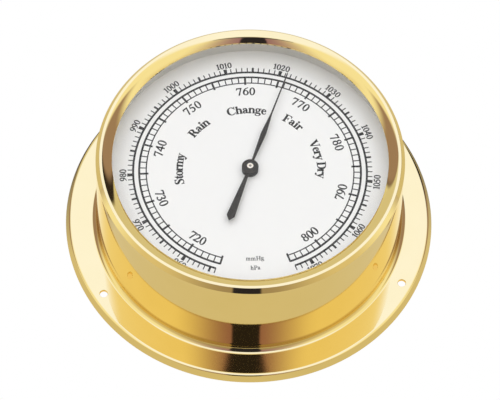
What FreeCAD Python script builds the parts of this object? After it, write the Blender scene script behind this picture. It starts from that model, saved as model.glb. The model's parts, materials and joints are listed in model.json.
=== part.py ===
import FreeCAD, Part
import math
import os

# Aneroid barometer in a drawn brass case, lying on its back.
# Millimetres. Origin: centre of the flange's back rim, on the dial's axis.
# +Z points out of the dial, +Y points at twelve o'clock, +X points at three o'clock.

os.makedirs("parts", exist_ok=True)

# ---------------------------------------------------------------- case sizes
FLANGE_R = 55.0          # outside radius of the mounting flange
FLANGE_H = 2.3           # height of the flange's top face
SHEET = 1.0              # brass sheet the case is drawn from
RIM_CROWN = 2.6          # gentle round from the flange's flat top towards its rim
CROWN_END = 76.0         # degrees above horizontal that the crown's surface faces at its end
RIM_ROUND = 0.5          # tight round between the crown and the rim's face
RIM_LEAN = 25.0          # degrees above horizontal that the rim's face points
COVE_R = 1.8             # cove between flange and drum
DRUM_FOOT_R = 45.4       # drum outside radius at its foot
DRUM_TOP_R = 44.6        # drum outside radius at the bezel seam
DRUM_BORE_R = 43.4       # drum inside radius from the dial upwards
SEAM_Z = 33.4            # top of the drum, where the bezel sits down
BEZEL_EDGE_Z = 34.8      # height where the bezel's outer chamfer starts
CHAMFER = (1.1, 1.3)     # that chamfer's width and height
LAND = 0.8               # flat crest inside the chamfer
BEVEL_TILT = (15.0, 42.0)    # degrees the crowned inner bevel slopes, at its crest and at its lip
BEZEL_LIP_R = 39.9       # clear opening of the bezel
MOUNT_PCD_R = 50.8       # mounting holes: pitch circle radius
MOUNT_HOLE_R = 1.2
MOUNT_ANGLES = (90.0, 210.0, 330.0)

# ---------------------------------------------------------------- glass and dial
GLASS_R = 42.3
GLASS_Z = (32.2, 34.2)
GASKET_H = 0.6
DIAL_R = 43.1
DIAL_Z = (27.0, 27.7)
SPACER_BORE_R = 41.8
DIAL_HOLE_R = 1.6
DIAL_BUSH_R = 2.4

# ---------------------------------------------------------------- back of the case
COVER_R = 48.2
COVER_Z = (0.3, 1.3)
LUG_ANGLES = (30.0, 150.0, 270.0)
LUG_TOP_Z = 8.0
LUG_WIDTH = 6.0
LUG_SCREW_R = 41.5       # radius at which the cover screws stand
POST_R = 30.0            # radius at which the movement posts stand
POST_ANGLES = (90.0, 210.0, 330.0)

# ---------------------------------------------------------------- movement levels
BASE_PLATE_R = 37.0
BASE_PLATE_Z = (4.0, 5.2)
DIAL_PILLAR_R = 33.0
DIAL_PILLAR_ANGLES = (30.0, 150.0, 270.0)
CAPSULE_Z = (7.0, 14.0)
CAPSULE_R = 18.5
CAPSULE_SKIN = 0.3
GEAR_PLATE_R = 24.5
GEAR_PLATE_Z = (19.0, 20.0)
BRIDGE_Z = (25.0, 26.0)
PLATE_PILLAR_R = 21.5
PLATE_PILLAR_ANGLES = (75.0, 195.0, 315.0)
PLATE_WINDOWS = ((-12.0, 10.0, 4.5), (-9.0, -13.0, 4.5), (5.0, -13.0, 4.0))

# ---------------------------------------------------------------- linkage and gears
GEAR_MODULE = 0.25
PINION_TEETH = 12
SECTOR_TEETH = 120       # teeth on the full circle the sector is cut from
PRESSURE_ANGLE = 20.0    # degrees
BACKLASH = 0.05          # taken off each flank, on the pitch circle
PINION_R = GEAR_MODULE * PINION_TEETH / 2
SECTOR_R = GEAR_MODULE * SECTOR_TEETH / 2
SECTOR_X = 13.5
SECTOR_Y = math.sqrt((PINION_R + SECTOR_R) ** 2 - SECTOR_X ** 2)
TAIL_LENGTH = 4.0        # sector axis to the tail pin
ROCKER_Y = -2.0          # rocking shaft axis, along X
ROCKER_Z = 16.5
LINK_Z = 21.0            # height of the link rod
LINK_X = SECTOR_X + TAIL_LENGTH
PIN_R = 0.4
EYE_R = 0.75             # loose eye round each pin of the link
RUN = 0.05               # radial running clearance of every pivot

# ---------------------------------------------------------------- pointer
POINTER_Z = 29.35
POINTER_T = 0.25
POINTER_REST = 21.6      # degrees clockwise of twelve o'clock
HUB_R = 2.45
HUB_T = 0.55
ARBOR_TOP_Z = POINTER_Z + 0.35


# ---------------------------------------------------------------- helpers
def save(name, *solids):
    """Write one STEP file holding the given solids side by side."""
    shape = solids[0] if len(solids) == 1 else Part.makeCompound(list(solids))
    shape.exportStep("parts/" + name + ".step")
    print(name, len(shape.Solids), round(shape.Volume, 1), shape.isValid())


def vec(x, y, z=0.0):
    return FreeCAD.Vector(x, y, z)


def polar(radius, degrees):
    """Point at a radius and an anticlockwise angle from +X."""
    angle = math.radians(degrees)
    return radius * math.cos(angle), radius * math.sin(angle)


def disc(radius, z0, z1, x=0.0, y=0.0):
    return Part.makeCylinder(radius, z1 - z0, vec(x, y, z0))


def ring(inner, outer, z0, z1, x=0.0, y=0.0):
    return disc(outer, z0, z1, x, y).cut(disc(inner, z0, z1, x, y))


def rod_x(radius, x0, x1, y, z):
    return Part.makeCylinder(radius, x1 - x0, vec(x0, y, z), vec(1, 0, 0))


def block(x0, x1, y0, y1, z0, z1):
    return Part.makeBox(x1 - x0, y1 - y0, z1 - z0, vec(x0, y0, z0))


def outline(start, steps, place):
    """Closed wire from (u, v) points. A step (u, v) is a line; a step ((u, v), (u, v)) is an
    arc through the first point to the second."""
    edges = []
    here = start
    for step in list(steps) + [start]:
        if isinstance(step[0], tuple):
            edges.append(Part.Arc(place(here), place(step[0]), place(step[1])).toShape())
            here = step[1]
        elif step != here:
            edges.append(Part.LineSegment(place(here), place(step)).toShape())
            here = step
    return Part.Wire(edges)


def turned(start, steps):
    """Solid turned about Z from a closed outline of (radius, height) points."""
    wire = outline(start, steps, lambda p: vec(p[0], 0.0, p[1]))
    return Part.Face(wire).revolve(vec(0, 0, 0), vec(0, 0, 1), 360)


def plate(start, steps, z0, z1):
    """Flat plate cut from a closed outline of (x, y) points."""
    wire = outline(start, steps, lambda p: vec(p[0], p[1], z0))
    return Part.Face(wire).extrude(vec(0, 0, z1 - z0))


def arc_mid(centre, radius, from_deg, to_deg):
    """Point halfway round an arc."""
    x, y = polar(radius, (from_deg + to_deg) / 2)
    return centre[0] + x, centre[1] + y


def on_arc(centre, radius, degrees):
    x, y = polar(radius, degrees)
    return centre[0] + x, centre[1] + y


def around(radius, angles, make):
    """One solid from make(x, y) at each angle of a pitch circle."""
    return [make(*polar(radius, angle)) for angle in angles]


def countersunk_screw(x, y, z0, head_r, shank_r, top_z):
    """Flat-head screw driven upwards, its slotted face at z0."""
    head_h = head_r - shank_r
    head = Part.makeCone(head_r, shank_r, head_h, vec(x, y, z0))
    screw = head.fuse(disc(shank_r, z0 + head_h, top_z, x, y))
    slot = block(x - head_r, x + head_r, y - 0.25, y + 0.25, z0, z0 + 0.45)
    return screw.cut(slot)


def cheese_screw(x, y, z_under, head_r, head_h, shank_r, length, up):
    """Cheese-head screw. up is +1 where the shank points to +Z, else -1."""
    head = Part.makeCylinder(head_r, head_h, vec(x, y, z_under), vec(0, 0, -up))
    shank = Part.makeCylinder(shank_r, length, vec(x, y, z_under), vec(0, 0, up))
    slot = block(x - head_r, x + head_r, y - 0.25, y + 0.25, 0, 0.4)
    slot.translate(vec(0, 0, z_under - up * head_h - (0.4 if up < 0 else 0.0)))
    return head.fuse(shank).cut(slot)


# ---------------------------------------------------------------- case
def case_shell():
    """One-piece drawn case: leaning rim, flat flange, cove and tapered drum."""
    crown_r = RIM_CROWN
    x, z = polar(1.0, CROWN_END)
    fx, fz = polar(1.0, RIM_LEAN)
    # heights from the table up: rim face, tight round, crown
    crown_z = FLANGE_H - crown_r
    round_z = crown_z + (crown_r - RIM_ROUND) * z
    face_top_z = round_z + RIM_ROUND * fz
    face_top_r = FLANGE_R - face_top_z * fz / fx
    round_r = face_top_r - RIM_ROUND * fx
    crown_x = round_r - (crown_r - RIM_ROUND) * x
    crown = (crown_x, crown_z)
    tight = (round_r, round_z)
    cove = (DRUM_FOOT_R + COVE_R, FLANGE_H + COVE_R)
    inner_cove = COVE_R + SHEET
    under = FLANGE_H - SHEET
    inner_foot = FLANGE_R - SHEET / fx
    steps = [
        (face_top_r, face_top_z),
        (arc_mid(tight, RIM_ROUND, RIM_LEAN, CROWN_END), on_arc(tight, RIM_ROUND, CROWN_END)),
        (arc_mid(crown, crown_r, CROWN_END, 90), (crown_x, FLANGE_H)),
        (cove[0], FLANGE_H),
        (arc_mid(cove, COVE_R, 180, 270), (DRUM_FOOT_R, cove[1])),
        (DRUM_TOP_R, SEAM_Z),
        (DRUM_BORE_R, SEAM_Z),
        (DRUM_BORE_R, DIAL_Z[0]),
        (DRUM_FOOT_R - SHEET, cove[1]),
        (arc_mid(cove, inner_cove, 180, 270), (cove[0], under)),
        (inner_foot - under * fz / fx, under),
        (inner_foot, 0.0),
    ]
    shell = turned((FLANGE_R, 0.0), steps)
    for hole in around(MOUNT_PCD_R, MOUNT_ANGLES, lambda x, y: disc(MOUNT_HOLE_R, 0, FLANGE_H, x, y)):
        shell = shell.cut(hole)
    return shell


def bezel_ring():
    """Bezel that clamps the glass: outer chamfer, flat crest, inner bevel and a spigot in the drum."""
    crest_z = BEZEL_EDGE_Z + CHAMFER[1]
    land_out = DRUM_TOP_R - CHAMFER[0]
    land_in = land_out - LAND
    start, end = (math.radians(tilt) for tilt in BEVEL_TILT)
    bevel_r = (land_in - BEZEL_LIP_R) / (math.sin(end) - math.sin(start))
    bevel = (land_in + bevel_r * math.sin(start), crest_z - bevel_r * math.cos(start))
    lip = on_arc(bevel, bevel_r, 90 + BEVEL_TILT[1])
    spigot_out = DRUM_BORE_R - 0.02
    spigot_in = GLASS_R + 0.1
    spigot_end = GLASS_Z[0] - GASKET_H
    lip_under = GLASS_Z[1]
    steps = [
        (DRUM_TOP_R, BEZEL_EDGE_Z),
        (land_out, crest_z),
        (land_in, crest_z),
        (arc_mid(bevel, bevel_r, 90 + BEVEL_TILT[0], 90 + BEVEL_TILT[1]), lip),
        (BEZEL_LIP_R, lip_under),
        (spigot_in, lip_under),
        (spigot_in, spigot_end),
        (spigot_out, spigot_end),
        (spigot_out, SEAM_Z),
    ]
    return turned((DRUM_TOP_R, SEAM_Z), steps)


def case_lug(x, y):
    """Block soldered inside the drum, tapped for a cover screw."""
    angle = math.degrees(math.atan2(y, x))
    bar = block(LUG_SCREW_R - 2.0, DRUM_BORE_R + 1.0, -LUG_WIDTH / 2, LUG_WIDTH / 2, COVER_Z[1], LUG_TOP_Z)
    bar.rotate(vec(0, 0, 0), vec(0, 0, 1), angle)
    lug = bar.cut(CASE)
    return lug.cut(disc(0.8, COVER_Z[1], LUG_TOP_Z - 1.5, x, y))


def back_cover():
    """Flat disc in the flange's recess, countersunk for its screws, with a hole at the adjuster."""
    cover = disc(COVER_R, *COVER_Z).cut(disc(2.6, *COVER_Z))
    for x, y in [polar(LUG_SCREW_R, a) for a in LUG_ANGLES]:
        cover = cover.cut(Part.makeCone(1.7, 0.8, 0.9, vec(x, y, COVER_Z[0])))
        cover = cover.cut(disc(0.8, *COVER_Z, x, y))
    for x, y in [polar(POST_R, a) for a in POST_ANGLES]:
        cover = cover.cut(Part.makeCone(1.9, 1.0, 0.9, vec(x, y, COVER_Z[0])))
        cover = cover.cut(disc(1.0, *COVER_Z, x, y))
    return cover


CASE = case_shell()
save("case_shell", CASE)
save("bezel_ring", bezel_ring())
save("case_lugs", *around(LUG_SCREW_R, LUG_ANGLES, case_lug))
save("back_cover", back_cover())
save("cover_screws", *around(
    LUG_SCREW_R, LUG_ANGLES, lambda x, y: countersunk_screw(x, y, COVER_Z[0], 1.7, 0.8, LUG_TOP_Z - 2.0)))

# ---------------------------------------------------------------- glass, dial and what holds them
save("glass", disc(GLASS_R, *GLASS_Z))
save("glass_gasket", ring(SPACER_BORE_R, GLASS_R, GLASS_Z[0] - GASKET_H, GLASS_Z[0]))
save("dial_spacer_ring", ring(SPACER_BORE_R, DRUM_BORE_R - RUN, DIAL_Z[1], GLASS_Z[0] - GASKET_H))
save("dial_plate", ring(DIAL_HOLE_R, DIAL_R, *DIAL_Z))
save("dial_bush", ring(PIN_R + 0.6, DIAL_BUSH_R, DIAL_Z[1], DIAL_Z[1] + 0.35))


def dial_pillar(x, y):
    """Pillar from the base plate to the dial's back, tapped from below."""
    pillar = disc(1.6, BASE_PLATE_Z[1], DIAL_Z[0] - 1.0, x, y)
    pillar = pillar.fuse(disc(3.0, DIAL_Z[0] - 1.0, DIAL_Z[0], x, y))
    return pillar.cut(disc(0.9, BASE_PLATE_Z[1], BASE_PLATE_Z[1] + 4.0, x, y))


save("dial_pillars", *around(DIAL_PILLAR_R, DIAL_PILLAR_ANGLES, dial_pillar))
save("dial_pillar_screws", *around(
    DIAL_PILLAR_R, DIAL_PILLAR_ANGLES, lambda x, y: cheese_screw(x, y, BASE_PLATE_Z[0], 1.8, 0.9, 0.9, 4.5, 1)))


# ---------------------------------------------------------------- movement frame
def base_plate():
    shape = disc(BASE_PLATE_R, *BASE_PLATE_Z)
    holes = [(3.2, 0.0, 0.0)]
    holes += [(0.9, *polar(DIAL_PILLAR_R, a)) for a in DIAL_PILLAR_ANGLES]
    holes += [(1.0, *polar(POST_R, a)) for a in POST_ANGLES]
    holes += [(0.9, *polar(PLATE_PILLAR_R, a)) for a in PLATE_PILLAR_ANGLES]
    for radius, x, y in holes:
        shape = shape.cut(disc(radius, *BASE_PLATE_Z, x, y))
    return shape


def windowed_plate(z0, z1, extra_holes):
    """Round movement plate with three windows, pillar holes and the given extra holes."""
    shape = disc(GEAR_PLATE_R, z0, z1)
    holes = [(r, x, y) for x, y, r in PLATE_WINDOWS]
    holes += [(0.9, *polar(PLATE_PILLAR_R, a)) for a in PLATE_PILLAR_ANGLES]
    for radius, x, y in holes + list(extra_holes):
        shape = shape.cut(disc(radius, z0, z1, x, y))
    return shape


def lower_gear_plate():
    shape = windowed_plate(*GEAR_PLATE_Z, [(1.8, 0.0, 0.0), (1.6, SECTOR_X, SECTOR_Y)])
    slot = block(15.4, 18.8, -5.2, 1.2, *GEAR_PLATE_Z)
    return shape.cut(slot)


def plate_pillar(x, y, z0, z1, radius):
    """Distance pillar between two plates, with a tapped hole in each end."""
    pillar = disc(radius, z0, z1, x, y)
    pillar = pillar.cut(disc(0.9, z0, z0 + 2.0, x, y))
    return pillar.cut(disc(0.9, z1 - 2.0, z1, x, y))


def bush(x, y, z0, z1, outer, bore):
    return ring(bore, outer, z0, z1, x, y)


save("movement_base_plate", base_plate())
save("movement_posts", *around(
    POST_R, POST_ANGLES, lambda x, y: ring(1.0, 2.6, COVER_Z[1], BASE_PLATE_Z[0], x, y)))
save("movement_screws", *around(
    POST_R, POST_ANGLES, lambda x, y: countersunk_screw(x, y, COVER_Z[0], 1.9, 1.0, BASE_PLATE_Z[1])))
save("lower_pillars", *around(
    PLATE_PILLAR_R, PLATE_PILLAR_ANGLES,
    lambda x, y: plate_pillar(x, y, BASE_PLATE_Z[1], GEAR_PLATE_Z[0], 1.8)))
save("lower_pillar_screws", *around(
    PLATE_PILLAR_R, PLATE_PILLAR_ANGLES, lambda x, y: cheese_screw(x, y, BASE_PLATE_Z[0], 1.7, 0.9, 0.9, 3.0, 1)))
save("lower_gear_plate", lower_gear_plate())


def bridge_pillar(x, y):
    """Pillar with a threaded spigot that passes through the gear plate into the lower pillar."""
    pillar = plate_pillar(x, y, GEAR_PLATE_Z[1], BRIDGE_Z[0], 1.6)
    plug = disc(0.9, GEAR_PLATE_Z[0] - 1.8, GEAR_PLATE_Z[1] + 2.0, x, y)
    return pillar.fuse(plug)


save("bridge_pillars", *around(PLATE_PILLAR_R, PLATE_PILLAR_ANGLES, bridge_pillar))
save("bridge_plate", windowed_plate(*BRIDGE_Z, [(1.8, 0.0, 0.0), (1.6, SECTOR_X, SECTOR_Y)]))
save("bridge_screws", *around(
    PLATE_PILLAR_R, PLATE_PILLAR_ANGLES, lambda x, y: cheese_screw(x, y, BRIDGE_Z[1], 1.6, 0.8, 0.9, 2.8, -1)))

ARBOR_PIVOT_R = 0.5
ARBOR_R = 0.8
SECTOR_PIVOT_R = 0.6
save("arbor_bushes",
     bush(0, 0, 18.6, GEAR_PLATE_Z[1], 1.8, ARBOR_PIVOT_R + RUN),
     bush(0, 0, BRIDGE_Z[0], 26.2, 1.8, ARBOR_R + RUN))
save("sector_bushes",
     bush(SECTOR_X, SECTOR_Y, 18.6, GEAR_PLATE_Z[1], 1.6, SECTOR_PIVOT_R + RUN),
     bush(SECTOR_X, SECTOR_Y, BRIDGE_Z[0], 26.2, 1.6, SECTOR_PIVOT_R + RUN))


# ---------------------------------------------------------------- capsule and its adjuster
ADJUSTER_R = 1.5


def adjusting_screw():
    """Slotted grub screw under the capsule, reached through the back cover."""
    screw = disc(ADJUSTER_R, 0.9, CAPSULE_Z[0] - 0.05)
    return screw.cut(block(-ADJUSTER_R, ADJUSTER_R, -0.3, 0.3, 0.9, 1.7))


def diaphragm(side):
    """Corrugated skin. side is +1 for the upper skin and -1 for the lower one."""
    middle = sum(CAPSULE_Z) / 2
    half = (CAPSULE_Z[1] - CAPSULE_Z[0]) / 2
    wave = 0.35
    waves = 4
    first_r = 4.0
    pitch = 3.0
    crown = half - wave

    def row(drop):
        """Skin line from the centre outwards, lowered by drop. Entries are outline steps."""
        steps = [(3.5, half - drop), (first_r, crown - drop)]
        for index in range(waves):
            r0 = first_r + index * pitch
            for quarter, sign in ((0.25, 1), (0.75, -1)):
                mid = (r0 + quarter * pitch, crown - drop + sign * wave)
                end = (r0 + (quarter + 0.25) * pitch, crown - drop)
                steps.append((mid, end))
        return steps

    top = row(0.0) + [(17.2, CAPSULE_SKIN), (CAPSULE_R, CAPSULE_SKIN), (CAPSULE_R, 0.0), (16.9, 0.0)]
    under = row(CAPSULE_SKIN)
    back = []
    here = under[-1][1]
    back.append(here)
    for index in range(len(under) - 1, -1, -1):
        previous = under[index - 1] if index else None
        target = None
        if previous is not None:
            target = previous[1] if isinstance(previous[0], tuple) else previous
        if isinstance(under[index][0], tuple):
            back.append((under[index][0], target))
        elif target is not None:
            back.append(target)
    steps = top + back + [(0.0, half - CAPSULE_SKIN)]

    def place(p):
        return vec(p[0], 0.0, middle + side * p[1])

    wire = outline((0.0, half), steps, place)
    return Part.Face(wire).revolve(vec(0, 0, 0), vec(0, 0, 1), 360)


def capsule_post():
    """Stud soldered to the upper skin; the short arm rests on its rounded top."""
    foot = disc(2.4, CAPSULE_Z[1], CAPSULE_Z[1] + 0.4)
    return foot.fuse(disc(0.6, CAPSULE_Z[1], ROCKER_Z - 0.5))


save("adjusting_screw", adjusting_screw())
save("adjuster_bush", bush(0, 0, 3.0, 5.8, 3.2, ADJUSTER_R + RUN))
save("lower_diaphragm", diaphragm(-1))
save("upper_diaphragm", diaphragm(1))
save("capsule_post", capsule_post())


# ---------------------------------------------------------------- rocking shaft
SHAFT_X = (-7.6, 17.2)
BRACKETS_X = (-6.5, 12.8)
SHAFT_R = 0.8


def rocker_bracket(x):
    """Leg under the gear plate with a bore for the rocking shaft."""
    leg = block(x - 0.8, x + 0.8, ROCKER_Y - 2.0, ROCKER_Y + 2.0, ROCKER_Z - 1.6, GEAR_PLATE_Z[0])
    return leg.cut(rod_x(SHAFT_R + RUN, x - 1.0, x + 1.0, ROCKER_Y, ROCKER_Z))


def short_arm():
    """Arm from the shaft to the capsule post, ending in a ball."""
    hub = rod_x(1.2, -0.8, 0.8, ROCKER_Y, ROCKER_Z)
    finger = Part.makeCylinder(0.25, -ROCKER_Y, vec(0, ROCKER_Y, ROCKER_Z), vec(0, 1, 0))
    ball = Part.makeSphere(0.45, vec(0, 0, ROCKER_Z))
    arm = hub.fuse(finger).fuse(ball)
    return arm.cut(rod_x(SHAFT_R, -1.0, 1.0, ROCKER_Y, ROCKER_Z))


ARM_X = 16.5             # middle of the bimetal strip


def bimetal_arm():
    """Upright strip on the shaft's end. Its two metals bend it as it warms."""
    hub = rod_x(1.5, ARM_X - 0.6, ARM_X + 0.6, ROCKER_Y, ROCKER_Z)
    strip = block(ARM_X - 0.3, ARM_X + 0.3, ROCKER_Y - 0.7, ROCKER_Y + 0.7, ROCKER_Z, LINK_Z + 0.8)
    pin = rod_x(PIN_R, ARM_X + 0.2, LINK_X + 0.9, ROCKER_Y, LINK_Z)
    head = rod_x(EYE_R + 0.2, LINK_X + 0.6, LINK_X + 0.9, ROCKER_Y, LINK_Z)
    arm = hub.fuse([strip, pin, head]).removeSplitter()
    return arm.cut(rod_x(SHAFT_R, ARM_X - 1.0, ARM_X + 1.0, ROCKER_Y, ROCKER_Z))


def link_rod():
    """Thin rod with an upright eye at the arm and a flat eye at the sector's tail."""
    t = 0.3
    upright = rod_x(1.4, LINK_X - t, LINK_X + t, ROCKER_Y, LINK_Z)
    flat = disc(1.4, LINK_Z - t, LINK_Z + t, LINK_X, SECTOR_Y)
    bar = block(LINK_X - t, LINK_X + t, ROCKER_Y + 1.0, SECTOR_Y - 1.0, LINK_Z - t, LINK_Z + t)
    link = upright.fuse([flat, bar]).removeSplitter()
    link = link.cut(rod_x(EYE_R, LINK_X - 1.5, LINK_X + 1.5, ROCKER_Y, LINK_Z))
    return link.cut(disc(EYE_R, LINK_Z - 1.5, LINK_Z + 1.5, LINK_X, SECTOR_Y))


save("rocker_brackets", *[rocker_bracket(x) for x in BRACKETS_X])
save("rocking_shaft", rod_x(SHAFT_R, *SHAFT_X, ROCKER_Y, ROCKER_Z))
save("short_arm", short_arm())
save("bimetal_arm", bimetal_arm())
save("link_rod", link_rod())


# ---------------------------------------------------------------- gears
def tooth_flank(teeth, addendum, dedendum):
    """Half of one tooth as (radius, half angle) pairs, root first, along an involute."""
    pitch_r = GEAR_MODULE * teeth / 2
    base_r = pitch_r * math.cos(math.radians(PRESSURE_ANGLE))
    alpha = math.radians(PRESSURE_ANGLE)
    half = math.pi / (2 * teeth) - BACKLASH / pitch_r
    start_r = max(base_r, pitch_r - dedendum)
    points = []
    for index in range(5):
        radius = start_r + (pitch_r + addendum - start_r) * index / 4
        roll = math.acos(min(1.0, base_r / radius))
        spread = (math.tan(roll) - roll) - (math.tan(alpha) - alpha)
        points.append((radius, half - spread))
    if start_r > pitch_r - dedendum:
        points.insert(0, (pitch_r - dedendum, points[0][1]))
    return points


def gear_points(teeth, count, middle_deg, addendum, dedendum):
    """Outline points of count teeth, centred on a direction, anticlockwise."""
    flank = tooth_flank(teeth, addendum, dedendum)
    points = []
    for index in range(count):
        centre = math.radians(middle_deg) + (index - (count - 1) / 2) * 2 * math.pi / teeth
        rising = [(r, centre - a) for r, a in flank]
        falling = [(r, centre + a) for r, a in reversed(flank)]
        points += [(r * math.cos(t), r * math.sin(t)) for r, t in rising + falling]
    return points


TO_SECTOR = math.degrees(math.atan2(SECTOR_Y, SECTOR_X))
TO_PINION = TO_SECTOR + 180.0
ARM_TEETH = 16           # teeth actually cut on the sector


def pinion():
    """Twelve-leaf pinion, one leaf pointing at the sector's axis."""
    points = gear_points(PINION_TEETH, PINION_TEETH, TO_SECTOR, 0.22, 0.30)
    leaf_shift = 180.0 / PINION_TEETH
    shape = plate(points[0], points[1:], 21.7, 24.0)
    shape.rotate(vec(0, 0, 0), vec(0, 0, 1), leaf_shift)
    return shape.cut(disc(ARBOR_R, 21.7, 24.0))


def sector_gear():
    """Toothed arc on a spoked arm, a tail for the link and a hub."""
    z0, z1 = 22.2, 23.4
    teeth = gear_points(SECTOR_TEETH, ARM_TEETH, TO_PINION, 0.18, 0.28)
    half = ARM_TEETH * 180.0 / SECTOR_TEETH
    inner = SECTOR_R - 1.6
    inner_start = polar(inner, TO_PINION + half)
    inner_end = polar(inner, TO_PINION - half)
    inner_mid = polar(inner, TO_PINION)
    rim = plate(teeth[0], teeth[1:] + [inner_start, (inner_mid, inner_end)], z0, z1)
    spokes = []
    for side in (-1, 1):
        end = polar(inner + 0.6, TO_PINION + side * (half - 5.0))
        foot = polar(1.2, TO_PINION + side * 90.0)
        across = polar(0.6, TO_PINION + 90.0)
        corners = [(foot[0] + across[0], foot[1] + across[1]),
                   (end[0] + across[0], end[1] + across[1]),
                   (end[0] - across[0], end[1] - across[1]),
                   (foot[0] - across[0], foot[1] - across[1])]
        spokes.append(plate(corners[0], corners[1:], z0, z1))
    tail = block(0.0, TAIL_LENGTH, -0.9, 0.9, z0, z1).fuse(disc(0.9, z0, z1, TAIL_LENGTH, 0.0))
    weight_arm = plate((0.7, -0.7), [(3.6, 2.2), (2.2, 3.6), (-0.7, 0.7)], z0, z1)
    hub = disc(2.0, 21.8, 23.8)
    shape = rim.fuse(spokes + [tail, weight_arm, hub]).removeSplitter()
    shape = shape.cut(disc(1.0, 21.0, 24.5))
    shape = shape.cut(disc(PIN_R, 21.0, 24.5, TAIL_LENGTH, 0.0))
    shape.translate(vec(SECTOR_X, SECTOR_Y, 0))
    return shape


def sector_arbor():
    body = disc(1.0, 20.3, 24.7, SECTOR_X, SECTOR_Y)
    return body.fuse(disc(SECTOR_PIVOT_R, 18.8, 26.1, SECTOR_X, SECTOR_Y))


def tail_pin():
    """Pin under the sector's tail, with a head that keeps the link's eye on."""
    pin = disc(PIN_R, 20.2, 23.4, LINK_X, SECTOR_Y)
    return pin.fuse(disc(EYE_R + 0.2, 20.2, 20.45, LINK_X, SECTOR_Y))


save("sector_gear", sector_gear())
save("sector_arbor", sector_arbor())
save("tail_pin", tail_pin())
save("sector_counterweight", disc(1.7, 23.4, 24.4, SECTOR_X + 2.7, SECTOR_Y + 2.7))
save("pinion", pinion())


# ---------------------------------------------------------------- pointer arbor and hairspring
def pointer_arbor():
    shaft = disc(ARBOR_PIVOT_R, 18.8, 20.3)
    shaft = shaft.fuse(disc(ARBOR_R, 20.3, 26.6))
    return shaft.fuse(disc(0.6, 26.6, ARBOR_TOP_Z))


def pointer_collet():
    """Tube pressed on the arbor's end. Its rim and hole show at the middle of the hub."""
    tube = disc(0.9, DIAL_Z[1] + 0.7, POINTER_Z + HUB_T + 0.35)
    tube = tube.cut(disc(0.6, DIAL_Z[1] + 0.7, ARBOR_TOP_Z))
    return tube.cut(disc(0.4, ARBOR_TOP_Z, POINTER_Z + HUB_T + 0.35))


SPRING_Z = (20.6, 21.2)
SPRING_R = (1.3, 5.2)
SPRING_TURNS = 5
SPRING_T = 0.12


def hairspring():
    """Flat spiral strip between the collet and the stud."""
    def edge(offset):
        points = []
        steps_per_turn = 16
        for index in range(SPRING_TURNS * steps_per_turn + 1):
            turn = index / steps_per_turn
            radius = SPRING_R[0] + (SPRING_R[1] - SPRING_R[0]) * turn / SPRING_TURNS + offset
            angle = 2 * math.pi * turn
            points.append(vec(radius * math.cos(angle), radius * math.sin(angle), SPRING_Z[0]))
        curve = Part.BSplineCurve()
        curve.interpolate(points)
        return curve.toShape(), points[0], points[-1]
    inner, inner_start, inner_end = edge(0.0)
    outer, outer_start, outer_end = edge(SPRING_T)
    start = Part.LineSegment(inner_start, outer_start).toShape()
    end = Part.LineSegment(inner_end, outer_end).toShape()
    face = Part.Face(Part.Wire([inner, end, outer, start]))
    return face.extrude(vec(0, 0, SPRING_Z[1] - SPRING_Z[0]))


save("pointer_arbor", pointer_arbor())
save("pointer_collet", pointer_collet())
save("hairspring_collet", ring(ARBOR_R, SPRING_R[0] - RUN, SPRING_Z[0] - 0.1, SPRING_Z[1] + 0.2))
save("hairspring", hairspring())
save("hairspring_stud", disc(0.5, GEAR_PLATE_Z[1], SPRING_Z[1] + 0.3, SPRING_R[1] + SPRING_T + 0.5, 0))


# ---------------------------------------------------------------- pointer
def pointer():
    """Lance-shaped hand with a spade tail, cut from thin sheet. It points along +Y, then turns."""
    half_widths = [(2.0, 0.32), (6.5, 0.52), (12.2, 0.78), (16.8, 0.44), (19.5, 0.22), (34.0, 0.17)]
    right = [(w, r) for r, w in half_widths]
    left = [(-w, r) for r, w in reversed(half_widths)]
    hand = plate(right[0], right[1:] + [(0.0, 35.0)] + left, POINTER_Z, POINTER_Z + POINTER_T)
    tail_steps = [(1.2, -17.3), (0.0, -18.9), (-1.2, -17.3), (-0.42, -2.0)]
    tail = plate((0.42, -2.0), tail_steps, POINTER_Z, POINTER_Z + POINTER_T)
    middle = disc(HUB_R - 0.1, POINTER_Z, POINTER_Z + POINTER_T)
    shape = hand.fuse([tail, middle]).removeSplitter().cut(disc(0.9, POINTER_Z, POINTER_Z + POINTER_T))
    shape.rotate(vec(0, 0, 0), vec(0, 0, 1), -POINTER_REST)
    return shape


def pointer_hub():
    """Round boss on the hand's middle, with a softly broken top edge."""
    z0 = POINTER_Z + POINTER_T
    z1 = POINTER_Z + HUB_T
    edge = 0.12
    steps = [
        (HUB_R, z0),
        (HUB_R, z1 - edge),
        ((HUB_R - edge * 0.29, z1 - edge * 0.29), (HUB_R - edge, z1)),
        (0.9, z1),
    ]
    return turned((0.9, z0), steps)


save("pointer", pointer())
save("pointer_hub", pointer_hub())
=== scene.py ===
import json
import math

import bpy
from mathutils import Matrix, Vector
from mathutils.geometry import delaunay_2d_cdt


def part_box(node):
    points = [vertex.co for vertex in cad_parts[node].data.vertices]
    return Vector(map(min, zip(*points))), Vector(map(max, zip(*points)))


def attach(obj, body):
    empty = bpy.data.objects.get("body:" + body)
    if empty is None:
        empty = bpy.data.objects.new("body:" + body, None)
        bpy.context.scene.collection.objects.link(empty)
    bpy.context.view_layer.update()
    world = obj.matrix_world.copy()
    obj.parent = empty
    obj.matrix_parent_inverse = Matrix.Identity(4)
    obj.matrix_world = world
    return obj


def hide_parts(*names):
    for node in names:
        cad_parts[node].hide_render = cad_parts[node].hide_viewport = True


# Looks of the aneroid barometer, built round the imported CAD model.
# Shapes are worked out in millimetres in the model's frame and scaled to metres when a mesh is made.

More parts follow.
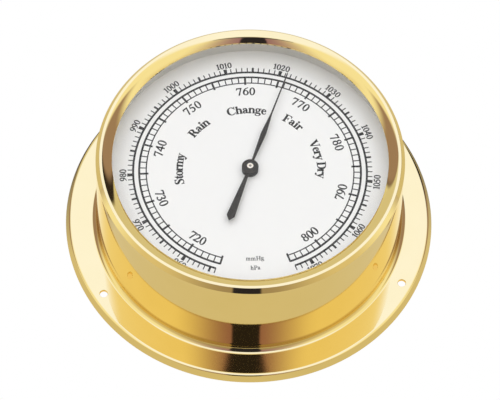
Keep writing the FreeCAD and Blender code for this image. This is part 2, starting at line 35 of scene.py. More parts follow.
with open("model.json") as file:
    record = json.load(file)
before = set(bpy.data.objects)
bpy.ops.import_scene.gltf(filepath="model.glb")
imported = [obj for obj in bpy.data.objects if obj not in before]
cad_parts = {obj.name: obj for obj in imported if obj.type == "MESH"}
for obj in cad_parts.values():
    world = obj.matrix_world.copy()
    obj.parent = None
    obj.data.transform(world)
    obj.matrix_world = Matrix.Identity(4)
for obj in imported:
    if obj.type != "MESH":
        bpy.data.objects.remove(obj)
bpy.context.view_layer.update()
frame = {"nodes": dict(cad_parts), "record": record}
MM = 0.001


def node_box(node):
    """Lowest and highest corner of a CAD node, in millimetres."""
    low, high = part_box(node)
    return low / MM, high / MM


SHELL_HIGH = node_box("case_shell")[1]
BEZEL_LOW, BEZEL_HIGH = node_box("bezel_ring")
DIAL_LOW, DIAL_HIGH = node_box("dial_plate")
GLASS_HIGH = node_box("glass")[1]

# ------------------------------ case outline, from the frame
FLANGE_R = SHELL_HIGH.x
SEAM_Z = SHELL_HIGH.z
FLANGE_H = 2.3
SHEET = 1.0
RIM_CROWN = 2.6
CROWN_END = 76.0         # degrees above horizontal that the crown's surface faces at its end
RIM_ROUND = 0.5
RIM_LEAN = 25.0          # degrees above horizontal that the rim's face points
COVE_R = 1.8
DRUM_FOOT_R = 45.4
DRUM_TOP_R = BEZEL_HIGH.x
DRUM_BORE_R = 43.4
CHAMFER = (1.1, 1.3)     # bezel's outer chamfer: width and height
BEZEL_EDGE_Z = BEZEL_HIGH.z - CHAMFER[1]
LAND = 0.8               # flat crest inside the chamfer
BEVEL_TILT = (15.0, 42.0)    # degrees the crowned inner bevel slopes, at its crest and at its lip
BEZEL_LIP_R = 39.9
BEZEL_ROUND = 0.08       # radius of the bezel's small rounded edges
SPIGOT_GAPS = (0.1, 0.02)    # from the spigot to the glass inside it, and to the drum's bore outside it
MOUNT_PCD_R = 50.8
MOUNT_HOLE_R = 1.2
MOUNT_ANGLES = (90.0, 210.0, 330.0)
EDGE_BREAK = 0.06        # small chamfer on sharp edges
TURNS = 512              # faces round a turned part
DIAL_TOP = DIAL_HIGH.z


# ------------------------------ meshes with exact normals
class Shape:
    """Gathers faces with a normal for each corner, and makes one mesh of them."""

    def __init__(self):
        self.points = []
        self.index = {}
        self.faces = []
        self.normals = []

    def vertex(self, point):
        key = tuple(round(c, 5) for c in point)
        if key not in self.index:
            self.index[key] = len(self.points)
            self.points.append([c * MM for c in point])
        return self.index[key]

    def face(self, corners, normals):
        ids = [self.vertex(p) for p in corners]
        if len(set(ids)) == len(ids):
            self.faces.append(ids)
            self.normals += [tuple(n) for n in normals]

    def flat(self, corners, normal):
        self.face(corners, [normal] * len(corners))

    def make(self, name, material):
        mesh = bpy.data.meshes.new(name)
        mesh.from_pydata(self.points, [], self.faces)
        mesh.shade_smooth()
        mesh.normals_split_custom_set(self.normals)
        mesh.materials.append(material)
        piece = bpy.data.objects.new(name, mesh)
        bpy.context.scene.collection.objects.link(piece)
        return piece


def line(start, end):
    """Straight stretch of a turned outline: its points with their outward normals."""
    du = end[0] - start[0]
    dv = end[1] - start[1]
    length = math.hypot(du, dv)
    normal = (dv / length, -du / length)
    return [(start, normal), (end, normal)]


def arc(centre, radius, from_deg, to_deg, steps):
    """Round stretch of a turned outline. Going anticlockwise it bulges outwards."""
    side = 1.0 if to_deg > from_deg else -1.0
    stretch = []
    for index in range(steps + 1):
        angle = math.radians(from_deg + (to_deg - from_deg) * index / steps)
        away = (math.cos(angle), math.sin(angle))
        point = (centre[0] + radius * away[0], centre[1] + radius * away[1])
        stretch.append((point, (side * away[0], side * away[1])))
    return stretch


def turn(shape, stretches, turns=TURNS):
    """Turns the stretches of an outline, (radius, height) points in anticlockwise order, about Z."""
    ring = [(math.cos(2 * math.pi * k / turns), math.sin(2 * math.pi * k / turns)) for k in range(turns)]
    for stretch in stretches:
        for (p, n), (q, m) in zip(stretch, stretch[1:]):
            for k in range(turns):
                c, s = ring[k]
                d, t = ring[(k + 1) % turns]
                corners = [(p[0] * c, p[0] * s, p[1]), (p[0] * d, p[0] * t, p[1]),
                           (q[0] * d, q[0] * t, q[1]), (q[0] * c, q[0] * s, q[1])]
                normals = [(n[0] * c, n[0] * s, n[1]), (n[0] * d, n[0] * t, n[1]),
                           (m[0] * d, m[0] * t, m[1]), (m[0] * c, m[0] * s, m[1])]
                shape.face(corners, normals)


def circle(radius, count, x=0.0, y=0.0):
    return [(x + radius * math.cos(2 * math.pi * k / count), y + radius * math.sin(2 * math.pi * k / count))
            for k in range(count)]


def on_circle(centre, radius, degrees):
    angle = math.radians(degrees)
    return centre[0] + radius * math.cos(angle), centre[1] + radius * math.sin(angle)


def filled(loops):
    """Triangles inside the first loop and outside the others, as (x, y) corners."""
    points = []
    edges = []
    for loop in loops:
        first = len(points)
        points += [Vector(p) for p in loop]
        edges += [(first + k, first + (k + 1) % len(loop)) for k in range(len(loop))]
    made = delaunay_2d_cdt(points, edges, [], 0, 1e-6)
    outer = max(math.hypot(*p) for p in loops[0])
    inner = min(math.hypot(*p) for p in loops[1])
    triangles = []
    for ids in made[2]:
        corners = [tuple(made[0][i]) for i in ids]
        x = sum(c[0] for c in corners) / 3
        y = sum(c[1] for c in corners) / 3
        in_hole = any(math.hypot(x - hx, y - hy) < hr for hx, hy, hr in HOLE_DISCS)
        if inner < math.hypot(x, y) < outer and not in_hole:
            triangles.append(corners)
    return triangles


HOLES = [on_circle((0, 0), MOUNT_PCD_R, degrees) for degrees in MOUNT_ANGLES]
HOLE_TURNS = 64
HOLE_DISCS = [(x, y, MOUNT_HOLE_R + EDGE_BREAK) for x, y in HOLES]


def pierced_ring(shape, inner, outer, z, up):
    """Flat ring of the flange with the three mounting holes in it."""
    hole_r = MOUNT_HOLE_R + EDGE_BREAK
    loops = [circle(outer, TURNS), circle(inner, TURNS)]
    loops += [circle(hole_r, HOLE_TURNS, x, y) for x, y in HOLES]
    for corners in filled(loops):
        (ax, ay), (bx, by), (cx, cy) = corners
        turning = (bx - ax) * (cy - ay) - (by - ay) * (cx - ax)
        if (turning > 0) != (up > 0):
            corners = corners[::-1]
        shape.flat([(x, y, z) for x, y in corners], (0.0, 0.0, float(up)))


def hole_walls(shape, z_low, z_high):
    """Bores of the mounting holes, chamfered at both ends."""
    slope = math.sqrt(0.5)
    levels = [(MOUNT_HOLE_R + EDGE_BREAK, z_high, MOUNT_HOLE_R, z_high - EDGE_BREAK, (slope, slope)),
              (MOUNT_HOLE_R, z_high - EDGE_BREAK, MOUNT_HOLE_R, z_low + EDGE_BREAK, (1.0, 0.0)),
              (MOUNT_HOLE_R, z_low + EDGE_BREAK, MOUNT_HOLE_R + EDGE_BREAK, z_low, (slope, -slope))]
    for x, y in HOLES:
        for r0, z0, r1, z1, (nr, nz) in levels:
            for k in range(HOLE_TURNS):
                a = 2 * math.pi * k / HOLE_TURNS
                b = 2 * math.pi * (k + 1) / HOLE_TURNS
                ca, sa, cb, sb = math.cos(a), math.sin(a), math.cos(b), math.sin(b)
                corners = [(x + r0 * ca, y + r0 * sa, z0), (x + r0 * cb, y + r0 * sb, z0),
                           (x + r1 * cb, y + r1 * sb, z1), (x + r1 * ca, y + r1 * sa, z1)]
                normals = [(-nr * ca, -nr * sa, nz), (-nr * cb, -nr * sb, nz),
                           (-nr * cb, -nr * sb, nz), (-nr * ca, -nr * sa, nz)]
                shape.face(corners, normals)


# ------------------------------ materials
class Nodes:
    """A material's node tree, with short ways to add to it."""

    def __init__(self, name):
        self.material = bpy.data.materials.new(name)
        self.material.use_nodes = True
        self.tree = self.material.node_tree
        self.shader = self.tree.nodes["Principled BSDF"]

    def add(self, kind, **settings):
        node = self.tree.nodes.new(kind)
        for name, value in settings.items():
            setattr(node, name, value)
        return node

    def link(self, source, target):
        self.tree.links.new(source, target)

    def place(self, stretch=(1.0, 1.0, 1.0)):
        """The surface's own coordinates, in metres, stretched along the axes."""
        coordinates = self.add("ShaderNodeTexCoord")
        mapping = self.add("ShaderNodeMapping")
        mapping.inputs["Scale"].default_value = stretch
        self.link(coordinates.outputs["Object"], mapping.inputs["Vector"])
        return mapping.outputs["Vector"]

    def noise(self, where, size, detail=3.0, roughness=0.5):
        """Noise whose features are about size metres across."""
        noise = self.add("ShaderNodeTexNoise")
        noise.inputs["Scale"].default_value = 1.0 / size
        noise.inputs["Detail"].default_value = detail
        noise.inputs["Roughness"].default_value = roughness
        self.link(where, noise.inputs["Vector"])
        return noise.outputs["Fac"]

    def spread(self, value, low, high, start=0.3, end=0.7):
        """Value from start to end, mapped to low to high."""
        node = self.add("ShaderNodeMapRange")
        for name, number in (("From Min", start), ("From Max", end), ("To Min", low), ("To Max", high)):
            node.inputs[name].default_value = number
        self.link(value, node.inputs["Value"])
        return node.outputs["Result"]

    def between(self, value, low, high):
        """Colour from low to high, following value from 0 to 1."""
        node = self.add("ShaderNodeMix", data_type="RGBA")
        node.inputs["A"].default_value = (*low, 1.0)
        node.inputs["B"].default_value = (*high, 1.0)
        self.link(value, node.inputs["Factor"])
        return node.outputs["Result"]

    def bump(self, height, depth):
        """Bump of the given depth in metres."""
        node = self.add("ShaderNodeBump")
        node.inputs["Strength"].default_value = 1.0
        node.inputs["Distance"].default_value = depth
        self.link(height, node.inputs["Height"])
        self.link(node.outputs["Normal"], self.shader.inputs["Normal"])

    def set(self, **values):
        for name, value in values.items():
            self.shader.inputs[name.replace("_", " ")].default_value = value


def scaled(colour, factor):
    return tuple(min(1.0, c * factor) for c in colour)


def finish_material(name, colour, metallic, rough, stretch, size, tone=0.06, depth=0.0, **values):
    """Surface with grain: its tone, roughness and height vary together along the stretched noise."""
    nodes = Nodes(name)
    where = nodes.place(stretch)
    grain = nodes.noise(where, size)
    share = nodes.spread(grain, 0.0, 1.0)
    nodes.link(nodes.between(share, scaled(colour, 1 - tone), scaled(colour, 1 + tone)),
               nodes.shader.inputs["Base Color"])
    nodes.link(nodes.spread(grain, rough[0], rough[1]), nodes.shader.inputs["Roughness"])
    if depth:
        nodes.bump(grain, depth)
    nodes.set(Metallic=metallic, **values)
    return nodes.material


def polished_brass():
    """Lacquered mirror brass: even colour, faint cloudiness and hair-fine polishing marks."""
    nodes = Nodes("polished_brass")
    cloud = nodes.noise(nodes.place(), 0.012, 4.0)
    hair = nodes.noise(nodes.place((1.0, 1.0, 9.0)), 0.0006, 2.0)
    share = nodes.spread(cloud, 0.0, 1.0)
    colour = nodes.between(share, (0.87, 0.685, 0.29), (0.89, 0.705, 0.31))
    nodes.link(colour, nodes.shader.inputs["Base Color"])
    nodes.link(nodes.spread(hair, 0.035, 0.055), nodes.shader.inputs["Roughness"])
    nodes.set(Metallic=1.0)
    return nodes.material


def clear_glass():
    """Thin clear glass: see-through face on, and more of a mirror towards grazing."""
    nodes = Nodes("clear_glass")
    nodes.tree.nodes.remove(nodes.shader)
    out = nodes.tree.nodes["Material Output"]
    through = nodes.add("ShaderNodeBsdfTransparent")
    gloss = nodes.add("ShaderNodeBsdfGlossy")
    gloss.inputs["Roughness"].default_value = 0.0
    gloss.inputs["Color"].default_value = (0.86, 0.76, 0.48, 1.0)
    weight = nodes.add("ShaderNodeLayerWeight")
    weight.inputs["Blend"].default_value = 0.5
    steep = nodes.add("ShaderNodeMath", operation="POWER")
    steep.inputs[1].default_value = 5.0
    nodes.link(weight.outputs["Facing"], steep.inputs[0])
    smear = nodes.noise(nodes.place(), 0.02, 2.0)
    face_on = nodes.spread(smear, 0.030, 0.034)
    share = nodes.add("ShaderNodeMath", operation="MAXIMUM")
    nodes.link(steep.outputs[0], share.inputs[0])
    nodes.link(face_on, share.inputs[1])
    mix = nodes.add("ShaderNodeMixShader")
    nodes.link(share.outputs[0], mix.inputs["Fac"])
    nodes.link(through.outputs["BSDF"], mix.inputs[1])
    nodes.link(gloss.outputs["BSDF"], mix.inputs[2])
    nodes.link(mix.outputs["Shader"], out.inputs["Surface"])
    return nodes.material


BRASS = polished_brass()
EVEN = (1.0, 1.0, 1.0)   # grain that isn't stretched
INK = finish_material("printing_ink", (0.006, 0.006, 0.006), 0.0, (0.5, 0.6), EVEN, 0.0003, tone=0.2,
                      Specular_IOR_Level=0.15)
SLOT_MATERIALS = {
    "clear_glass": clear_glass(),
    "grey_gasket": finish_material("gasket_rubber", (0.60, 0.60, 0.585), 0.0, (0.6, 0.75), EVEN, 0.0008),
    "grey_paint": finish_material("grey_satin_paint", (0.72, 0.71, 0.69), 0.0, (0.4, 0.5), EVEN, 0.001,
                                  tone=0.02),
    "dial_white": finish_material("dial_enamel", (0.86, 0.86, 0.855), 0.0, (0.42, 0.5), EVEN, 0.0015,
                                  tone=0.008),
    "black_plastic": finish_material("black_plastic", (0.012, 0.012, 0.012), 0.0, (0.4, 0.5), EVEN, 0.0004),
    "back_black": finish_material("satin_black_paint", (0.02, 0.02, 0.021), 0.0, (0.38, 0.5), EVEN, 0.0004,
                                  tone=0.2, depth=0.000004),
    "screw_steel": finish_material("nickel_screws", (0.62, 0.60, 0.56), 1.0, (0.18, 0.3), EVEN, 0.0005),
    "movement_brass": finish_material("brushed_brass", (0.78, 0.58, 0.26), 1.0, (0.22, 0.36), (1, 14, 14),
                                      0.004),
    "bronze_bush": finish_material("turned_bronze", (0.68, 0.42, 0.22), 1.0, (0.2, 0.32), (1, 1, 8), 0.001),
    "pivot_steel": finish_material("polished_steel", (0.56, 0.56, 0.57), 1.0, (0.12, 0.22), (1, 1, 8), 0.001),
    "bimetal": finish_material("rolled_bimetal", (0.62, 0.56, 0.46), 1.0, (0.25, 0.38), (10, 10, 1), 0.002),
    "capsule_metal": finish_material("pressed_capsule", (0.70, 0.66, 0.56), 1.0, (0.2, 0.34), EVEN, 0.0012),
    "spring_bronze": finish_material("spring_bronze", (0.72, 0.46, 0.24), 1.0, (0.18, 0.3), EVEN, 0.0008),
    "pointer_black": finish_material("pointer_paint", (0.014, 0.010, 0.007), 0.0, (0.45, 0.6), EVEN, 0.0003,
                                     tone=0.35, Specular_IOR_Level=0.15),
    "bright_nickel": finish_material("bright_nickel", (0.82, 0.70, 0.42), 1.0, (0.1, 0.18), EVEN, 0.0005),
}


def dress_cad_nodes():
    """Gives every CAD node the material of its slot."""
    slots = {part["node"]: part["material_slot"] for part in frame["record"]["subparts"]}
    for name, node in frame["nodes"].items():
        material = SLOT_MATERIALS.get(slots[name], BRASS)
        node.data.materials.clear()
        node.data.materials.append(material)


# ------------------------------ case and bezel
def make_case():
    shape = Shape()
    cx, cz = on_circle((0, 0), 1.0, CROWN_END)
    fx, fz = on_circle((0, 0), 1.0, RIM_LEAN)
    crown_z = FLANGE_H - RIM_CROWN
    round_z = crown_z + (RIM_CROWN - RIM_ROUND) * cz
    face_top_z = round_z + RIM_ROUND * fz
    face_top_r = FLANGE_R - face_top_z * fz / fx
    tight = (face_top_r - RIM_ROUND * fx, round_z)
    crown = (tight[0] - (RIM_CROWN - RIM_ROUND) * cx, crown_z)
    cove = (DRUM_FOOT_R + COVE_R, FLANGE_H + COVE_R)
    under = FLANGE_H - SHEET
    inner_foot = FLANGE_R - SHEET / fx
    inner_top = inner_foot - under * fz / fx
    turn(shape, [
        line((FLANGE_R, 0.0), (face_top_r, face_top_z)),
        arc(tight, RIM_ROUND, RIM_LEAN, CROWN_END, 16),
        arc(crown, RIM_CROWN, CROWN_END, 90, 12),
        arc(cove, COVE_R, 270, 180, 32),
        line((DRUM_FOOT_R, cove[1]), (DRUM_TOP_R, SEAM_Z)),
        line((DRUM_TOP_R, SEAM_Z), (DRUM_BORE_R, SEAM_Z)),
        line((DRUM_BORE_R, SEAM_Z), (DRUM_BORE_R, DIAL_LOW.z)),
        line((DRUM_BORE_R, DIAL_LOW.z), (DRUM_FOOT_R - SHEET, cove[1])),
        arc(cove, COVE_R + SHEET, 180, 270, 16),
        line((inner_top, under), (inner_foot, 0.0)),
        line((inner_foot, 0.0), (FLANGE_R, 0.0)),
    ])
    pierced_ring(shape, cove[0], crown[0], FLANGE_H, 1)
    pierced_ring(shape, cove[0], inner_top, under, -1)
    hole_walls(shape, under, FLANGE_H)
    piece = shape.make("polished_case", BRASS)
    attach(piece, "case")
    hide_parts("case_shell")


def make_bezel():
    shape = Shape()
    crest_z = BEZEL_HIGH.z
    edge = BEZEL_ROUND
    bottom = (DRUM_TOP_R, BEZEL_EDGE_Z)
    top = (DRUM_TOP_R - CHAMFER[0], crest_z)
    facing = math.degrees(math.atan2(CHAMFER[0], CHAMFER[1]))
    slope = math.hypot(*CHAMFER)
    along = (-CHAMFER[0] / slope, CHAMFER[1] / slope)
    low_cut = edge * math.tan(math.radians(facing / 2))
    high_cut = edge * math.tan(math.radians((90 - facing) / 2))
    low_round = (bottom[0] - edge, bottom[1] - low_cut)
    high_round = (top[0] - high_cut, crest_z - edge)
    land_in = top[0] - LAND
    start, end = (math.radians(tilt) for tilt in BEVEL_TILT)
    bevel_r = (land_in - BEZEL_LIP_R) / (math.sin(end) - math.sin(start))
    bevel = (land_in + bevel_r * math.sin(start), crest_z - bevel_r * math.cos(start))
    lip_x = BEZEL_LIP_R + edge
    lip_tilt = math.asin((bevel[0] - lip_x) / (bevel_r - edge))
    bevel_arc = arc(bevel, bevel_r, 90 + BEVEL_TILT[0], 90 + math.degrees(lip_tilt), 24)
    lip_z = bevel[1] + (bevel_r - edge) * math.cos(lip_tilt)
    lip_arc = arc((lip_x, lip_z), edge, 90 + math.degrees(lip_tilt), 180, 8)
    lip_under = GLASS_HIGH.z
    spigot_in = GLASS_HIGH.x + SPIGOT_GAPS[0]
    spigot_out = DRUM_BORE_R - SPIGOT_GAPS[1]
    turn(shape, [
        line((DRUM_TOP_R, SEAM_Z), (DRUM_TOP_R, low_round[1])),
        arc(low_round, edge, 0, facing, 6),
        line((bottom[0] + along[0] * low_cut, bottom[1] + along[1] * low_cut),
             (top[0] - along[0] * high_cut, top[1] - along[1] * high_cut)),
        arc(high_round, edge, facing, 90, 6),
        line((high_round[0], crest_z), (land_in, crest_z)),
        bevel_arc,
        lip_arc,
        line(lip_arc[-1][0], (BEZEL_LIP_R, lip_under)),
        line((BEZEL_LIP_R, lip_under), (spigot_in, lip_under)),
        line((spigot_in, lip_under), (spigot_in, BEZEL_LOW.z)),
        line((spigot_in, BEZEL_LOW.z), (spigot_out, BEZEL_LOW.z)),
        line((spigot_out, BEZEL_LOW.z), (spigot_out, SEAM_Z)),
        line((spigot_out, SEAM_Z), (DRUM_TOP_R, SEAM_Z)),
    ])
    piece = shape.make("polished_bezel", BRASS)
    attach(piece, "case")
    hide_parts("bezel_ring")


# ------------------------------ printing: flat shapes
# A mark is a list of (x, y) corners. Marks that overlap are joined into one outline.
INK_Z = (DIAL_TOP - 0.01, DIAL_TOP + 0.02)


def swollen(mark, grow):
    """The mark anticlockwise, with every side moved out by grow."""
    area = sum(ax * by - bx * ay for (ax, ay), (bx, by) in zip(mark, mark[1:] + mark[:1]))
    mark = mark if area > 0 else mark[::-1]
    if not grow:
        return mark
    sides = []
    for (ax, ay), (bx, by) in zip(mark, mark[1:] + mark[:1]):
        length = math.hypot(bx - ax, by - ay) or 1.0
        sides.append(((by - ay) / length, (ax - bx) / length))
    moved = []
    for k, (x, y) in enumerate(mark):
        n, m = sides[k - 1], sides[k]
        share = grow / max(0.5, 1.0 + n[0] * m[0] + n[1] * m[1])
        moved.append((x + (n[0] + m[0]) * share, y + (n[1] + m[1]) * share))
    return moved


def joined(marks, grow=0.0):
    """Corners and triangles of the area that the marks cover together."""
    points = []
    faces = []
    for mark in marks:
        mark = swollen(mark, grow)
        faces.append(list(range(len(points), len(points) + len(mark))))
        points += [Vector(p) for p in mark]
    flat, _, triangles, _, _, owners = delaunay_2d_cdt(points, [], faces, 1, 1e-5)
    kept = []
    for ids, marks_here in zip(triangles, owners):
        if not marks_here:
            continue
        (ax, ay), (bx, by), (cx, cy) = [flat[i] for i in ids]
        turning = (bx - ax) * (cy - ay) - (by - ay) * (cx - ax)
        kept.append(tuple(ids) if turning > 0 else tuple(ids)[::-1])
    return [tuple(p) for p in flat], kept


def printed(name, areas):
    """One thin raised layer of ink made of flat areas, as joined() gives them."""
    shape = Shape()
    low, high = INK_Z
    for points, triangles in areas:
        sides = set()
        for ids in triangles:
            corners = [points[i] for i in ids]
            shape.flat([(x, y, high) for x, y in corners], (0, 0, 1))
            shape.flat([(x, y, low) for x, y in corners[::-1]], (0, 0, -1))
            sides.update((ids[k], ids[(k + 1) % 3]) for k in range(3))
        for i, j in sorted(sides):
            if (j, i) not in sides:
                (ax, ay), (bx, by) = points[i], points[j]
                length = math.hypot(bx - ax, by - ay) or 1.0
                normal = ((by - ay) / length, (ax - bx) / length, 0.0)
                shape.flat([(ax, ay, low), (bx, by, low), (bx, by, high), (ax, ay, high)], normal)
    piece = shape.make(name, INK)
    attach(piece, "case")


def at(radius, degrees):
    """Point of the dial at a radius and a clockwise angle from twelve o'clock."""
    angle = math.radians(degrees)
    return radius * math.sin(angle), radius * math.cos(angle)


def band(radius, width, from_deg, to_deg, step=1.0):
    """Arc line of the given width, as short quads."""
    count = max(1, round((to_deg - from_deg) / step))
    marks = []
    for index in range(count):
        a = from_deg + (to_deg - from_deg) * index / count
        b = from_deg + (to_deg - from_deg) * (index + 1) / count
        inner, outer = radius - width / 2, radius + width / 2
        marks.append([at(inner, a), at(outer, a), at(outer, b), at(inner, b)])
    return marks


def tick(degrees, inner, outer, inner_width, outer_width=None):
    """Radial line, which may widen outwards."""
    outer_width = inner_width if outer_width is None else outer_width
    ax, ay = at(1.0, degrees)
    corners = []
    for radius, half in ((inner, -inner_width / 2), (inner, inner_width / 2),
                         (outer, outer_width / 2), (outer, -outer_width / 2)):
        corners.append((radius * ax + half * ay, radius * ay - half * ax))
    return corners


# ------------------------------ printing: letter parts
# Letters and their parts are measured in thousandths of an em.
ROUND_STEPS = 28


def bar(x0, y0, x1, y1, width, end_width=None):
    end_width = width if end_width is None else end_width
    length = math.hypot(x1 - x0, y1 - y0)
    px, py = -(y1 - y0) / length / 2, (x1 - x0) / length / 2
    return [[(x0 + px * width, y0 + py * width), (x0 - px * width, y0 - py * width),
             (x1 - px * end_width, y1 - py * end_width), (x1 + px * end_width, y1 + py * end_width)]]


def slab(x0, y0, x1, y1):
    return [[(x0, y0), (x1, y0), (x1, y1), (x0, y1)]]


def serif(x0, x1, y, stem_x, stem_width, up=1, thick=26, bracket=34):
    """Foot (up is 1) or head (up is -1) serif with brackets into its stem."""
    left, right = stem_x - stem_width / 2, stem_x + stem_width / 2
    t, b = up * thick, up * (thick + bracket)
    return [[(x0, y), (x1, y), (x1, y + t), (right + bracket, y + t), (right, y + b),
             (left, y + b), (left - bracket, y + t), (x0, y + t)]]


def flag(stem_x, stem_width, y, reach=104, drop=34):
    """Sloping head serif to the left of a small letter's stem."""
    left, right = stem_x - stem_width / 2, stem_x + stem_width / 2
    start = stem_x - reach
    return [[(right, y + 12), (left, y - 4), (start, y - drop), (start, y - drop - 20),
             (left, y - drop - 40), (right, y - drop - 40)]]


def ball(x, y, radius):
    return [[(x + radius * math.cos(2 * math.pi * k / 20), y + radius * math.sin(2 * math.pi * k / 20))
             for k in range(20)]]


def ribbon(line_points):
    """Quads along a line of (x, y, width) points."""
    sides = []
    for index, (x, y, width) in enumerate(line_points):
        before = line_points[max(0, index - 1)]
        after = line_points[min(len(line_points) - 1, index + 1)]
        dx, dy = after[0] - before[0], after[1] - before[1]
        length = math.hypot(dx, dy) or 1.0
        sides.append(((x - dy / length * width / 2, y + dx / length * width / 2),
                      (x + dy / length * width / 2, y - dx / length * width / 2)))
    return [[a0, b0, b1, a1] for (a0, b0), (a1, b1) in zip(sides, sides[1:])]


def stroke(*points):
    """Smooth line through (x, y, width) points."""
    steps = 6
    line_points = []
    last = len(points) - 1
    for index in range(last):
        p = [points[max(0, index - 1)], points[index], points[index + 1], points[min(last, index + 2)]]
        for step in range(steps + (index == last - 1)):
            t = step / steps
            line_points.append(tuple(
                0.5 * (2 * p[1][k] + (p[2][k] - p[0][k]) * t
                       + (2 * p[0][k] - 5 * p[1][k] + 4 * p[2][k] - p[3][k]) * t * t
                       + (3 * p[1][k] - p[0][k] - 3 * p[2][k] + p[3][k]) * t ** 3) for k in range(3)))
    return ribbon(line_points)


def bowl(x, y, rx, ry, side, top, from_deg=0.0, to_deg=360.0):
    """Round stroke between two ellipses: side is its width at left and right, top at top and bottom."""
    steps = max(4, round(ROUND_STEPS * (to_deg - from_deg) / 360.0))
    quads = []
    for index in range(steps):
        corners = []
        for share, inset in ((index, 0), (index + 1, 0), (index + 1, 1), (index, 1)):
            angle = math.radians(from_deg + (to_deg - from_deg) * share / steps)
            out_x = (rx - inset * side) * math.cos(angle)
            out_y = (ry - inset * top) * math.sin(angle)
            corners.append((x + out_x, y + out_y))
        quads.append(corners)
    return quads


def half_turn(parts, x, y):
    """The parts turned by 180 degrees about a point."""
    return [[(2 * x - px, 2 * y - py) for px, py in mark] for mark in parts]


# ------------------------------ printing: letters
CAP = 676
SMALL = 461


def stem_letter(x, width, top, foot=(105, 125)):
    """Small letter's stem with its foot serif and head flag."""
    parts = bar(x, 0, x, top, width)
    parts += serif(x - foot[0], x + foot[1], 0, x, width)
    return parts + flag(x, width, top)


def arch(left, right, width):
    """Shoulder from one stem into the next, with the second stem and its foot."""
    gap = right - left
    parts = stroke((left + 50, 330, 30), (left + 0.36 * gap, 412, 56), (left + 0.62 * gap, 428, 84),
                   (left + 0.88 * gap, 385, 116), (right, 300, width))
    parts += bar(right, 0, right, 305, width)
    return parts + serif(right - 105, right + 115, 0, right, width)


def bold_letters():
    """Upright bold roman: advance width and parts of each letter."""
    w = 138
    cap_stem = 150
    cap_bar = bar(182, 0, 182, CAP, cap_stem)
    n_arch = arch(130, 418, w)
    letters = {
        "S": (556, stroke((440, 520, 22), (418, 590, 40), (350, 648, 44), (262, 665, 44), (165, 628, 88),
                          (128, 540, 128), (170, 440, 146), (268, 370, 150), (372, 296, 148), (424, 190, 136),
                          (388, 72, 90), (285, 10, 44), (190, 14, 44), (110, 70, 40), (72, 170, 22))
              + bar(462, 488, 462, 690, 22, 34) + bar(56, 205, 56, -14, 22, 34)),
        "t": (333, bar(149, 110, 149, 430, w) + slab(20, 414, 304, SMALL)
              + [[(20, 424), (80, 424), (218, 440), (218, 628), (200, 628), (150, 530), (20, 440)]]
              + stroke((149, 150, w), (158, 70, 122), (200, 30, 74), (258, 38, 40), (312, 96, 22))),
        "o": (500, bowl(250, 228, 226, 244, 142, 38)),
        "r": (444, stem_letter(130, w, SMALL)
              + stroke((190, 320, 30), (240, 405, 54), (310, 436, 60), (360, 425, 60)) + ball(362, 388, 66)),
        "m": (833, stem_letter(130, w, SMALL) + n_arch + arch(418, 706, w)),
        "y": (500, bar(106, 440, 270, 40, 150, 110) + bar(408, 445, 262, 60, 40, 46)
              + stroke((264, 70, 46), (222, -50, 54), (165, -140, 62), (105, -160, 60)) + ball(84, -128, 56)
              + slab(14, 433, 252, SMALL) + slab(326, 433, 486, SMALL)),
        "R": (722, cap_bar + serif(26, 344, 0, 182, cap_stem)
              + slab(26, 648, 350, CAP) + slab(182, 636, 350, CAP) + slab(182, 322, 350, 360)
              + bowl(345, 499, 218, 177, 152, 40, -90, 90) + bar(372, 350, 598, 20, 150)
              + slab(520, 0, 716, 26)),
        "a": (500, stroke((318, 60, 100), (330, 180, w), (330, 300, w), (300, 400, 100), (232, 445, 46),
                          (150, 432, 44), (104, 390, 40)) + ball(116, 366, 60)
              + stroke((325, 282, 40), (240, 250, 60), (148, 206, 106), (104, 122, 132), (134, 50, 92),
                       (196, 20, 48), (262, 44, 40), (325, 96, 40))
              + stroke((330, 120, w), (352, 60, 104), (396, 30, 58), (440, 36, 34), (482, 74, 20))),
        "i": (278, stem_letter(140, w, SMALL, (110, 110)) + ball(138, 606, 80)),
        "n": (556, stem_letter(130, w, SMALL) + n_arch),
        "C": (722, bowl(378, 338, 348, 353, 162, 40, 46, 304) + bar(636, 690, 636, 452, 40, 22)
              + stroke((560, 590, 60), (608, 540, 34), (632, 470, 22))
              + stroke((566, 62, 52), (622, 110, 30), (660, 180, 20))),
        "h": (556, stem_letter(130, w, CAP - 6) + n_arch),
        "g": (500, bowl(222, 312, 184, 160, 116, 34) + stroke((345, 408, 34), (390, 436, 50), (472, 430, 58))
              + stroke((150, 178, 30), (96, 120, 54), (118, 66, 86), (230, 44, 110), (350, 26, 116),
                       (414, -46, 100), (378, -142, 58), (250, -190, 34), (108, -168, 56), (58, -100, 66),
                       (98, -34, 40), (160, 0, 28))),
        "e": (444, stroke((335, 262, 118), (322, 360, 96), (234, 444, 38), (140, 390, 106), (92, 240, 134),
                          (136, 92, 108), (236, 28, 66), (332, 52, 40), (412, 126, 20))
              + slab(120, 240, 394, 274)),
        "F": (611, cap_bar + serif(26, 350, 0, 182, cap_stem)
              + slab(26, 640, 580, CAP)
              + [[(583, CAP), (470, CAP), (470, 640), (540, 600), (560, 500), (583, 500)]]
              + slab(182, 330, 400, 366) + bar(408, 240, 408, 456, 26)
              + [[(400, 300), (400, 396), (340, 350)]]),
        "V": (722, bar(152, CAP - 14, 372, 60, 166, 120) + bar(612, CAP - 10, 404, 40, 44, 50)
              + bar(372, 80, 392, -14, 110, 40) + slab(16, 648, 304, CAP) + slab(502, 648, 706, CAP)),
        "D": (722, cap_bar + slab(26, 648, 330, CAP) + slab(26, 0, 330, 28)
              + slab(182, 636, 330, CAP) + slab(182, 0, 330, 40)
              + bowl(325, 338, 362, 338, 160, 40, -90, 90)),
        " ": (250, []),
    }
    return letters


